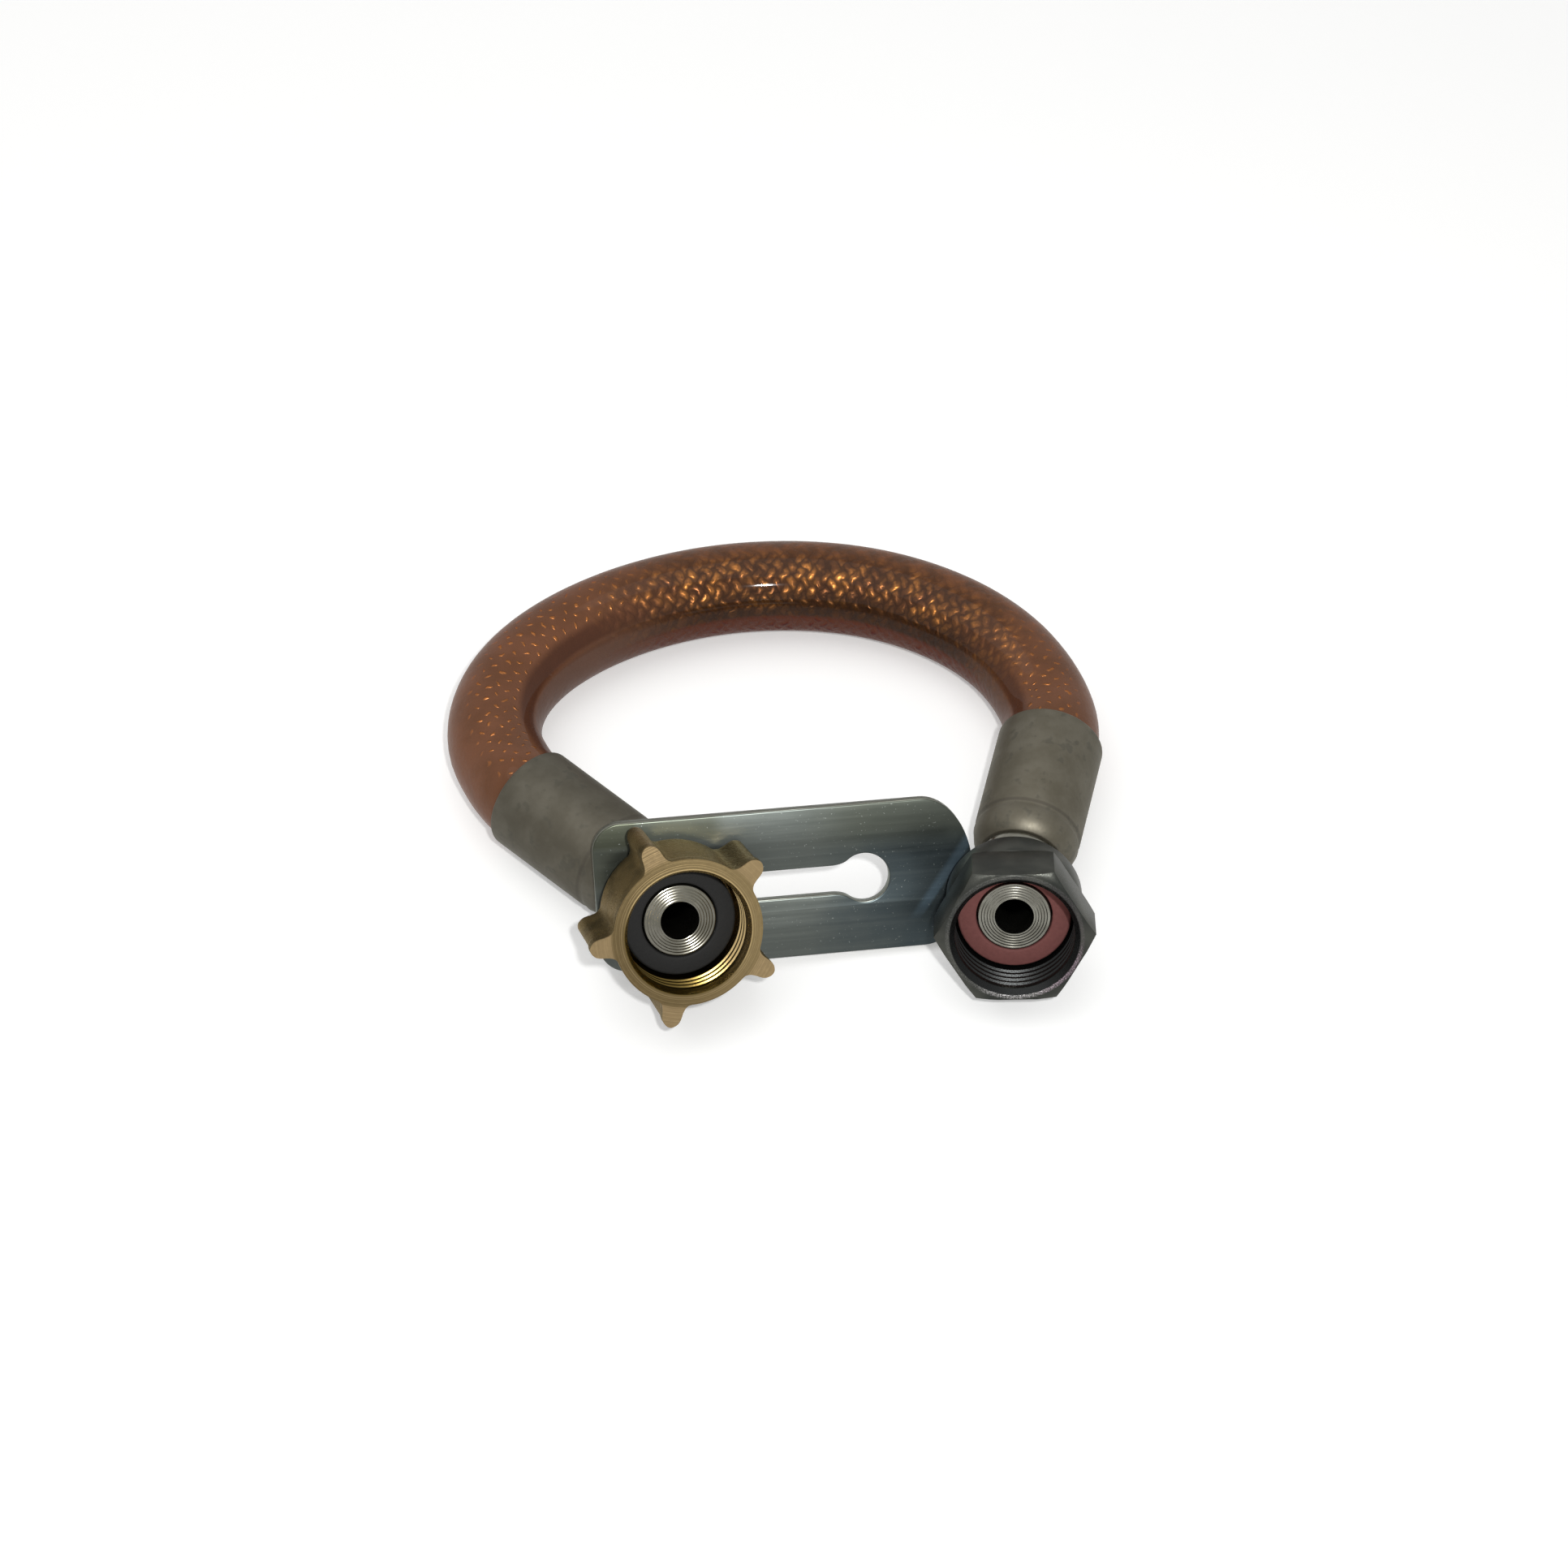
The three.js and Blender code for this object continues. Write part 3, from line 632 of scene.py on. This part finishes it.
def make_nipple(end, name, dark, light):
    """Head, nose, bent neck, collar and hose tail, with the bore through them, drawn about the nut's line."""
    nut = end["nut"]
    inverse = end["nut_place"].to_3x3().inverted()
    leave = inverse @ end["outward"]                  # the ferrule's line, seen from the nut's
    sideways = Vector((leave.x, leave.y, 0)).normalized()
    spin = Matrix.Rotation(math.atan2(sideways.y, sideways.x), 4, "Z")
    angle = math.acos(-leave.z)
    bend_r = BEND_TANGENT / math.tan(angle / 2)
    top = nut["length"] - nut["seal"] + NOSE_PROUD
    head_back = nut["wall"] + GAP
    head_front = nut["length"] - nut["seal"] - SEAL_THICK - GAP
    corner = Vector((0, 0, -nut["bend"]))
    neck_end = corner.z + BEND_TANGENT
    away = Vector((math.sin(angle), 0, -math.cos(angle)))
    bent = (corner + away * BEND_TANGENT) * MM
    collar_back = -COLLAR_LENGTH - GAP
    collar = [(NECK_R, collar_back), (nut["collar"], collar_back), (nut["collar"], -GAP), (NECK_R, -GAP),
              (NECK_R, TAIL_SHOULDER), (TAIL_R, TAIL_SHOULDER + TAIL_SLOPE),
              (TAIL_R, TAIL_LENGTH - TAIL_POINT), (TAIL_R - TAIL_POINT_STEP, TAIL_LENGTH),
              (BORE_R, TAIL_LENGTH)]
    leg = nut["leg"]

    def bend(direction):
        bpy.ops.mesh.spin(steps=BEND_STEPS, angle=direction * angle, axis=(0, 1, 0),
                          center=(bend_r * MM, 0, neck_end * MM))

    def along(radius, distance):
        return radius, (corner + away * (leg + distance)) * MM

    piece = start_ring(name + "_finish", BORE_R, top)
    draw_profile([
        (BORE_R, top), *turned_face(top, BORE_R + GROOVE_MARGIN, NOSE_R - GROOVE_MARGIN), (NOSE_R, top),
        (NOSE_R, head_front), (HEAD_R, head_front), (HEAD_R, head_back), (NECK_R, head_back),
        (NECK_R, neck_end)])
    bend(1)
    radius, centre = NECK_R, bent
    for next_radius, next_centre in (along(r, d) for r, d in collar):
        next_ring(next_centre - centre, next_centre, next_radius / radius)
        radius, centre = next_radius, next_centre
    next_ring(bent - centre, bent, 1)
    bend(-1)
    next_ring((0, 0, (top - neck_end) * MM), (0, 0, top * MM), 1)
    close_shape()
    bpy.ops.object.mode_set(mode="OBJECT")
    steel = turned_steel(name + "_steel", end["nut_place"], dark, light)
    finish(piece, end["nut_place"] @ spin, "hose_assembly", name, steel, edge=0.18)


def make_seal(end, name, material):
    front = end["nut"]["length"] - end["nut"]["seal"]
    inner = NOSE_R + GAP
    profile = [(inner, front - SEAL_THICK), (SEAL_R, front - SEAL_THICK), (SEAL_R, front - SEAL_EDGE),
               (SEAL_R - SEAL_EDGE, front), (inner + SEAL_EDGE, front), (inner, front - SEAL_BORE_DROP)]
    piece = turned(name + "_finish", profile)
    finish(piece, end["nut_place"], "hose_assembly", name, material, edge=0.12)


def make_ferrule(end, name, dark, light):
    hole = NECK_R + GAP
    r, length = FERRULE_R, FERRULE_LENGTH
    profile = [
        (hole, 0), *((r + step, height) for step, height in FERRULE_FRONT),
        (r, length - 1), (r, length - 0.25), (r - 0.2, length), (FERRULE_BORE_R, length),
        (FERRULE_BORE_R, FERRULE_FLOOR), (hole, FERRULE_FLOOR)]
    piece = turned(name + "_finish", profile)
    steel = ferrule_steel(name + "_steel", end["ferrule_place"], dark, light)
    finish(piece, end["ferrule_place"], "hose_assembly", name, steel, edge=0.12)


# Plate: sizes in millimetres, lengths from the middle of the hole that hangs on the neck
PLATE = {"thick": 2.2, "left": -12.2, "flat": 45.6, "right": 54.6, "half": 13.5, "corner": 5, "hole": 7.3}
PLATE_EDGE = 0.3
KEY = {"x": 35.2, "r": 4.45, "round": math.radians(127), "half": 2.6, "left": 12.5, "turn": 3.75, "slot": 5.9}
PLATE_LONG = Vector((0.99, 0.136, -0.032))


def arc(x, y, rx, ry, start, stop, count=24):
    angles = [start + (stop - start) * i / count for i in range(count + 1)]
    return [(x + rx * math.cos(a), y + ry * math.sin(a)) for a in angles]


def plate_outlines():
    """The plate's outside, hole and keyhole, as [x, y]."""
    p, quarter = PLATE, math.pi / 2
    left, flat, half, corner = p["left"] + p["corner"], p["flat"], p["half"], p["corner"]
    outside = [*arc(flat, 0, p["right"] - flat, half, -quarter, quarter, 40),
               *arc(left, half - corner, corner, corner, quarter, 2 * quarter, 12),
               *arc(left, corner - half, corner, corner, 2 * quarter, 3 * quarter, 12)]
    hole = arc(0, 0, p["hole"], p["hole"], 0, 2 * math.pi, 64)[:-1]
    k = KEY
    mouth = arc(k["x"], 0, k["r"], k["r"], k["round"], -k["round"], 48)
    (ax, ay), (bx, by) = mouth[-1], (k["x"] - k["slot"], -k["half"])
    cx, cy = k["x"] - k["turn"], -k["half"]
    throat, count = [], 8
    for i in range(1, count + 1):
        t = i / count
        throat.append(((1 - t)**2 * ax + 2 * t * (1 - t) * cx + t * t * bx,
                       (1 - t)**2 * ay + 2 * t * (1 - t) * cy + t * t * by))
    slot_end = arc(k["left"] + k["half"], 0, k["half"], k["half"], -quarter, -3 * quarter, 16)
    key = [*mouth, *throat, *slot_end, *[(x, -y) for x, y in reversed(throat)]]
    return [outside, hole, key]


def make_plate():
    pivot, front = joint_line("plate_swing")
    if front.y > 0:
        front = -front
    long = (PLATE_LONG - front * PLATE_LONG.dot(front)).normalized()
    axes = Matrix((long, front.cross(long), front)).transposed().to_4x4()
    place = Matrix.Translation(pivot) @ axes
    curve = bpy.data.curves.new("keyhole_plate_finish", "CURVE")
    curve.dimensions = "2D"
    curve.fill_mode = "BOTH"
    curve.extrude = (PLATE["thick"] / 2 - PLATE_EDGE) * MM
    curve.bevel_depth = PLATE_EDGE * MM
    curve.bevel_resolution = 2
    curve.offset = -PLATE_EDGE * MM
    for points in plate_outlines():
        line = curve.splines.new("POLY")
        line.points.add(len(points) - 1)
        for point, (x, y) in zip(line.points, points):
            point.co = (x * MM, y * MM, 0, 1)
        line.use_cyclic_u = True
    choose(add_object("keyhole_plate_finish", curve))
    bpy.ops.object.convert(target="MESH")
    piece = bpy.context.object
    bpy.ops.object.mode_set(mode="EDIT")
    close_shape()
    bpy.ops.object.mode_set(mode="OBJECT")
    finish(piece, place, "plate", "keyhole_plate", zinc_plate(place), edge=0)


# Hose
DECIMETRE = 0.1
BRAID_YARNS = 15                 # in each direction
BRAID_LEAD = 43                  # millimetres for one turn of a yarn
BRAID_SWAY = 0.07                # turns
BRAID_THINNEST = 0.1             # millimetres of wall left between the yarns
YARN_STEP = 0.5                  # millimetres between the braid's rings
HOSE_STEP = 2                    # and between the cover's and the liner's
HOSE_SMOOTH_BELOW = math.radians(60)
CLEAR_STRETCH = (0.68, 1.0, 1.88, 1.5)   # decimetres: where the cover turns clear and milky again


def tube(name, line, outer, inner, *, sides, relief=None):
    """A tube along a line, with a UV map: turns round it, and decimetres along it."""
    up = Vector((0, 0, 1))
    rings = []
    travelled = 0
    for i, centre in enumerate(line):
        if i:
            travelled += (centre - line[i - 1]).length
        tangent = (line[min(i + 1, len(line) - 1)] - line[max(i - 1, 0)]).normalized()
        side = tangent.cross(up).normalized()
        rings.append((centre, side, side.cross(tangent), travelled))
    vertices, uvs = [], []
    for base, raised in ((outer, relief), (inner, None)):
        for centre, side, rise, distance in rings:
            for k in range(sides):
                turn = k / sides
                radius = base * MM + (raised(turn, distance) if raised else 0)
                a = 2 * math.pi * turn
                vertices.append(centre + (side * math.cos(a) + rise * math.sin(a)) * radius)
                uvs.append((turn, distance / DECIMETRE))
    faces = []
    ring_count = len(rings)
    inner_start = ring_count * sides

    def quad(a, b, c, d, last):
        faces.append(((a, b, c, d), last))

    for i in range(ring_count - 1):
        for k in range(sides):
            j = (k + 1) % sides
            a, b, c, d = i * sides + k, i * sides + j, (i + 1) * sides + j, (i + 1) * sides + k
            quad(a, b, c, d, j == 0)
            quad(*(v + inner_start for v in (d, c, b, a)), j == 0)
    for k in range(sides):
        j = (k + 1) % sides
        quad(j, k, k + inner_start, j + inner_start, j == 0)
        end = (ring_count - 1) * sides
        quad(end + k, end + j, end + j + inner_start, end + k + inner_start, j == 0)
    mesh = bpy.data.meshes.new(name)
    mesh.from_pydata(vertices, [], [f for f, _ in faces])
    layer = mesh.uv_layers.new(name="along_hose")
    for polygon, (_, last) in zip(mesh.polygons, faces):
        for loop in polygon.loop_indices:
            vertex = mesh.loops[loop].vertex_index
            u, v = uvs[vertex]
            layer.data[loop].uv = (1.0 if last and u == 0 else u, v)
    piece = add_object(name, mesh)
    choose(piece)
    bpy.ops.object.mode_set(mode="EDIT")
    bpy.ops.mesh.select_all(action="SELECT")
    bpy.ops.mesh.normals_make_consistent(inside=False)
    bpy.ops.object.mode_set(mode="OBJECT")
    bpy.ops.object.shade_smooth_by_angle(angle=HOSE_SMOOTH_BELOW)
    return piece


def yarn_height(turn, distance):
    """Height of the braid over its lowest place: two ways of yarn, over and under each other."""
    a = math.cos(math.pi * BRAID_YARNS * (turn + distance / MM / BRAID_LEAD))
    b = math.cos(math.pi * BRAID_YARNS * (turn - distance / MM / BRAID_LEAD))
    over = a * b
    height = max(abs(a) * (0.5 + 0.5 * over), abs(b) * (0.5 - 0.5 * over))
    return (height - 1) * (BRAID_WALL - BRAID_THINNEST) * MM


def braid_pattern(paint, sway=(0.0, 0.0)):
    """The braid from the hose's own map: turns round it, decimetres along it, and the yarns' height.

    Sway shifts each way of yarn, in turns, as the uneven cover over them does to the eye.
    """
    uv = paint.node("UVMap", {"uv_map": "along_hose"})
    turn, along = (paint.node("SeparateXYZ", None, {"Vector": uv}, output=k) for k in range(2))
    lay = along * (DECIMETRE / MM / BRAID_LEAD)
    one, two = (paint.node("Math", {"operation": "COSINE"}, {
        0: (turn + way + shift) * (math.pi * BRAID_YARNS)}) for way, shift in zip((lay, lay * -1.0), sway))
    one_top, two_top = (paint.size(yarn) for yarn in (one, two))
    over = one * two
    height = paint.node("Math", {"operation": "MAXIMUM"}, {
        0: one_top * (0.5 + 0.5 * over), 1: two_top * (0.5 - 0.5 * over)})
    return turn, along, height


def hose_cover_material():
    """Clear orange-brown plastic over golden yarn: milky near the ends, clearer across the back.

    Turns run from the ring's inner side, 0, over its top, 0.25, and its outer side, 0.5, to its foot.
    """
    paint = Paint("clear_cover", Coat_Weight=0.22, Coat_Roughness=0.05, Coat_IOR=1.5,
                  Specular_IOR_Level=0.1, Specular_Tint=(0.4, 0.18, 0.09, 1))
    vector, *_ = paint.local(Matrix.Identity(4))
    sway = [(paint.noise(vector, scale, 2.0) - 0.5) * BRAID_SWAY for scale in (0.3, 0.42)]
    turn, along, yarn = braid_pattern(paint, sway)
    cloud = paint.noise(vector, 0.11, 4.0)
    blotch = paint.noise(vector, 0.33, 3.0)
    opens, opened, closed, closes = CLEAR_STRETCH
    clear = paint.between(along, opens, opened) * paint.between(along, closed, closes)
    # painted shade: over the top and the outer side the yarns show less and the cover is plainer and darker
    shoulder_shade = paint.between(turn, 0.2, 0.29) * paint.between(turn, 0.53, 0.43)
    shown = (0.3 + 0.7 * paint.between(paint.noise(vector, 0.19, 3.0), 0.4, 0.56)) * (1 - 0.75 * shoulder_shade)
    # painted glints: the beads are brightened only on turns over the top of the hose
    bead_glint_turns = paint.between(yarn, 0.8, 0.99) * paint.between(turn, 0.13, 0.17) * paint.between(turn, 0.37, 0.3)
    milky = paint.mix(paint.between(cloud, 0.3, 0.7), (0.112, 0.045, 0.02), (0.15, 0.061, 0.03))
    milky = paint.mix(bead_glint_turns * 0.8, milky, (0.31, 0.112, 0.028))
    golden = paint.mix(paint.between(blotch, 0.4, 0.6) * shown, (0.07, 0.026, 0.009), (0.24, 0.092, 0.02))
    golden = paint.mix(paint.between(yarn, 0.66, 0.25) * 0.75, golden, (0.026, 0.01, 0.004))
    shoulder_shade_colour = paint.mix(paint.between(blotch, 0.35, 0.65), (0.085, 0.031, 0.008), (0.17, 0.06, 0.02))
    golden = paint.mix(shoulder_shade * 0.7, golden, shoulder_shade_colour)
    colour = paint.mix(clear * 0.92, milky, golden)
    # painted shade: a dark line above the inner side of the milky ends
    shade_line = paint.between(turn, 0.07, 0.095) * paint.between(turn, 0.165, 0.13) * (1 - clear)
    colour = paint.mix(shade_line * 0.75, colour, (0.045, 0.014, 0.007))
    # dark blotches on the inner side of the clear stretch
    shade = paint.between(turn, 0.15, 0.06) * clear * paint.between(cloud + blotch, 0.72, 1.05)
    colour = paint.mix(shade * 0.85, colour, (0.024, 0.011, 0.006))
    # pale inner side and foot, red at the foot of the clear stretch
    under = paint.between(turn, 0.8, 0.86)
    strip = paint.between(turn, 0.09, 0.06) * (1 - clear) + under
    colour = paint.mix(strip * 0.7, colour, (0.095, 0.052, 0.038))
    rim = paint.between(turn, 0.02, 0.0) + under
    colour = paint.mix(rim * clear * 0.9, colour, (0.085, 0.02, 0.008))
    yarns = clear * paint.between(yarn, 0.42, 0.85) * shown
    beads = (1 - clear) * bead_glint_turns
    paint.set(Base_Color=colour, Metallic=0.1 + 0.8 * (yarns + beads),
              Roughness=0.55 - 0.18 * yarns - 0.33 * beads + 0.25 * (blotch - 0.5))
    paint.bump(clear * yarn * (1 - 0.7 * shoulder_shade) + (1 - clear) * bead_glint_turns * 0.5 + blotch * 0.8, 0.33)
    return paint.material


def braid_material():
    paint = Paint("golden_yarn", Metallic=0.45, Roughness=0.22)
    _, _, yarn = braid_pattern(paint)
    paint.set(Base_Color=paint.mix(paint.between(yarn, 0.35, 0.9), (0.02, 0.008, 0.004), (0.75, 0.3, 0.07)))
    return paint.material


def liner_material():
    paint = Paint("dark_liner", Roughness=0.5)
    vector, *_ = paint.local(Matrix.Identity(4))
    grain = paint.noise(vector, 0.8, 3.0)
    paint.set(Base_Color=paint.mix(grain, (0.012, 0.006, 0.004), (0.03, 0.012, 0.008)))
    return paint.material


def make_hose():
    route = hose_route()
    fine, length = even_line(route, YARN_STEP * MM)
    coarse, _ = even_line(route, HOSE_STEP * MM)
    cover = tube("hose_cover_finish", coarse, HOSE_R, HOSE_R - COVER_WALL, sides=64)
    braid = tube("hose_braid_finish", fine, BRAID_R, BRAID_R - BRAID_WALL, sides=96, relief=yarn_height)
    liner = tube("hose_liner_finish", coarse, LINER_R, LINER_R - LINER_WALL, sides=48)
    for piece, node, material in ((cover, "hose_cover", hose_cover_material()),
                                  (braid, "hose_braid", braid_material()),
                                  (liner, "hose_liner", liner_material())):
        piece.data.materials.append(material)
        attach(piece, "hose_assembly")
        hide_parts(node)


# Floor, background and light, in metres
FLOOR_SIZE = 6
FLOOR_DROP = 0.0001


def make_floor():
    bpy.ops.object.select_all(action="DESELECT")
    bpy.ops.mesh.primitive_plane_add(size=FLOOR_SIZE, location=(0, 0, -FLOOR_DROP))
    floor = bpy.context.object
    floor.name = "floor"
    paint = Paint("pale_floor", Base_Color=(0.8, 0.8, 0.79, 1), Roughness=0.9,
                  Emission_Color=(1, 1, 1, 1), Emission_Strength=0.3)
    floor.data.materials.append(paint.material)


def make_world():
    """White to the camera and in reflections, and half as bright as a source of light."""
    world = bpy.data.worlds.new("studio")
    world.use_nodes = True
    bpy.context.scene.world = world
    tree = world.node_tree
    light_path = tree.nodes.new("ShaderNodeLightPath")
    seen = light_path.outputs["Is Camera Ray"]
    for name in ("Is Glossy Ray", "Is Transmission Ray"):
        either = tree.nodes.new("ShaderNodeMath")
        either.operation = "MAXIMUM"
        tree.links.new(seen, either.inputs[0])
        tree.links.new(light_path.outputs[name], either.inputs[1])
        seen = either.outputs[0]
    level = tree.nodes.new("ShaderNodeMapRange")
    level.inputs["To Min"].default_value = 0.5
    level.inputs["To Max"].default_value = 1.0
    tree.links.new(seen, level.inputs["Value"])
    tree.links.new(level.outputs[0], tree.nodes["Background"].inputs["Strength"])
    tree.nodes["Background"].inputs["Color"].default_value = (1, 1, 1, 1)


def area_light(name, place, target, size, power, glossy_only=False):
    """A round lamp that points at its target; glossy_only leaves it out of everything but gloss."""
    data = bpy.data.lights.new(name, "AREA")
    data.shape = "DISK"
    data.size = size
    data.energy = power
    lamp = add_object(name, data)
    lamp.location = place
    lamp.visible_diffuse = not glossy_only
    lamp.rotation_euler = (Vector(target) - Vector(place)).to_track_quat("-Z", "Y").to_euler()


make_camera()
make_hose()
make_lug_nut()
make_hex_nut()
make_nipple(LEFT, "left_nipple", (0.13, 0.125, 0.1), (0.18, 0.173, 0.145))
make_nipple(RIGHT, "right_nipple", (0.16, 0.155, 0.13), (0.22, 0.215, 0.185))
make_seal(LEFT, "black_seal",
          rubber("black_rubber", LEFT["nut_place"], (0.006, 0.006, 0.006), (0.016, 0.016, 0.015)))
make_seal(RIGHT, "red_seal",
          rubber("red_rubber", RIGHT["nut_place"], (0.145, 0.045, 0.04), (0.215, 0.074, 0.066)))
# painted light and shade: the two like ferrules get different colours, the right one lighter
make_ferrule(LEFT, "left_ferrule", (0.06, 0.053, 0.038), (0.082, 0.074, 0.056))
make_ferrule(RIGHT, "right_ferrule", (0.077, 0.068, 0.048), (0.104, 0.094, 0.071))
make_plate()
make_floor()
make_world()
area_light("flash", FLASH_AT, target=(0, 0, 0.01), size=0.02, power=1.15)
area_light("flash_glint", FLASH_AT, target=(0, 0, 0.01), size=0.02, power=3.4, glossy_only=True)
area_light("ceiling", (-0.25, 0.1, 0.9), target=(0, 0.02, 0), size=1.1, power=2.6)
bpy.context.scene.view_settings.view_transform = "Standard"
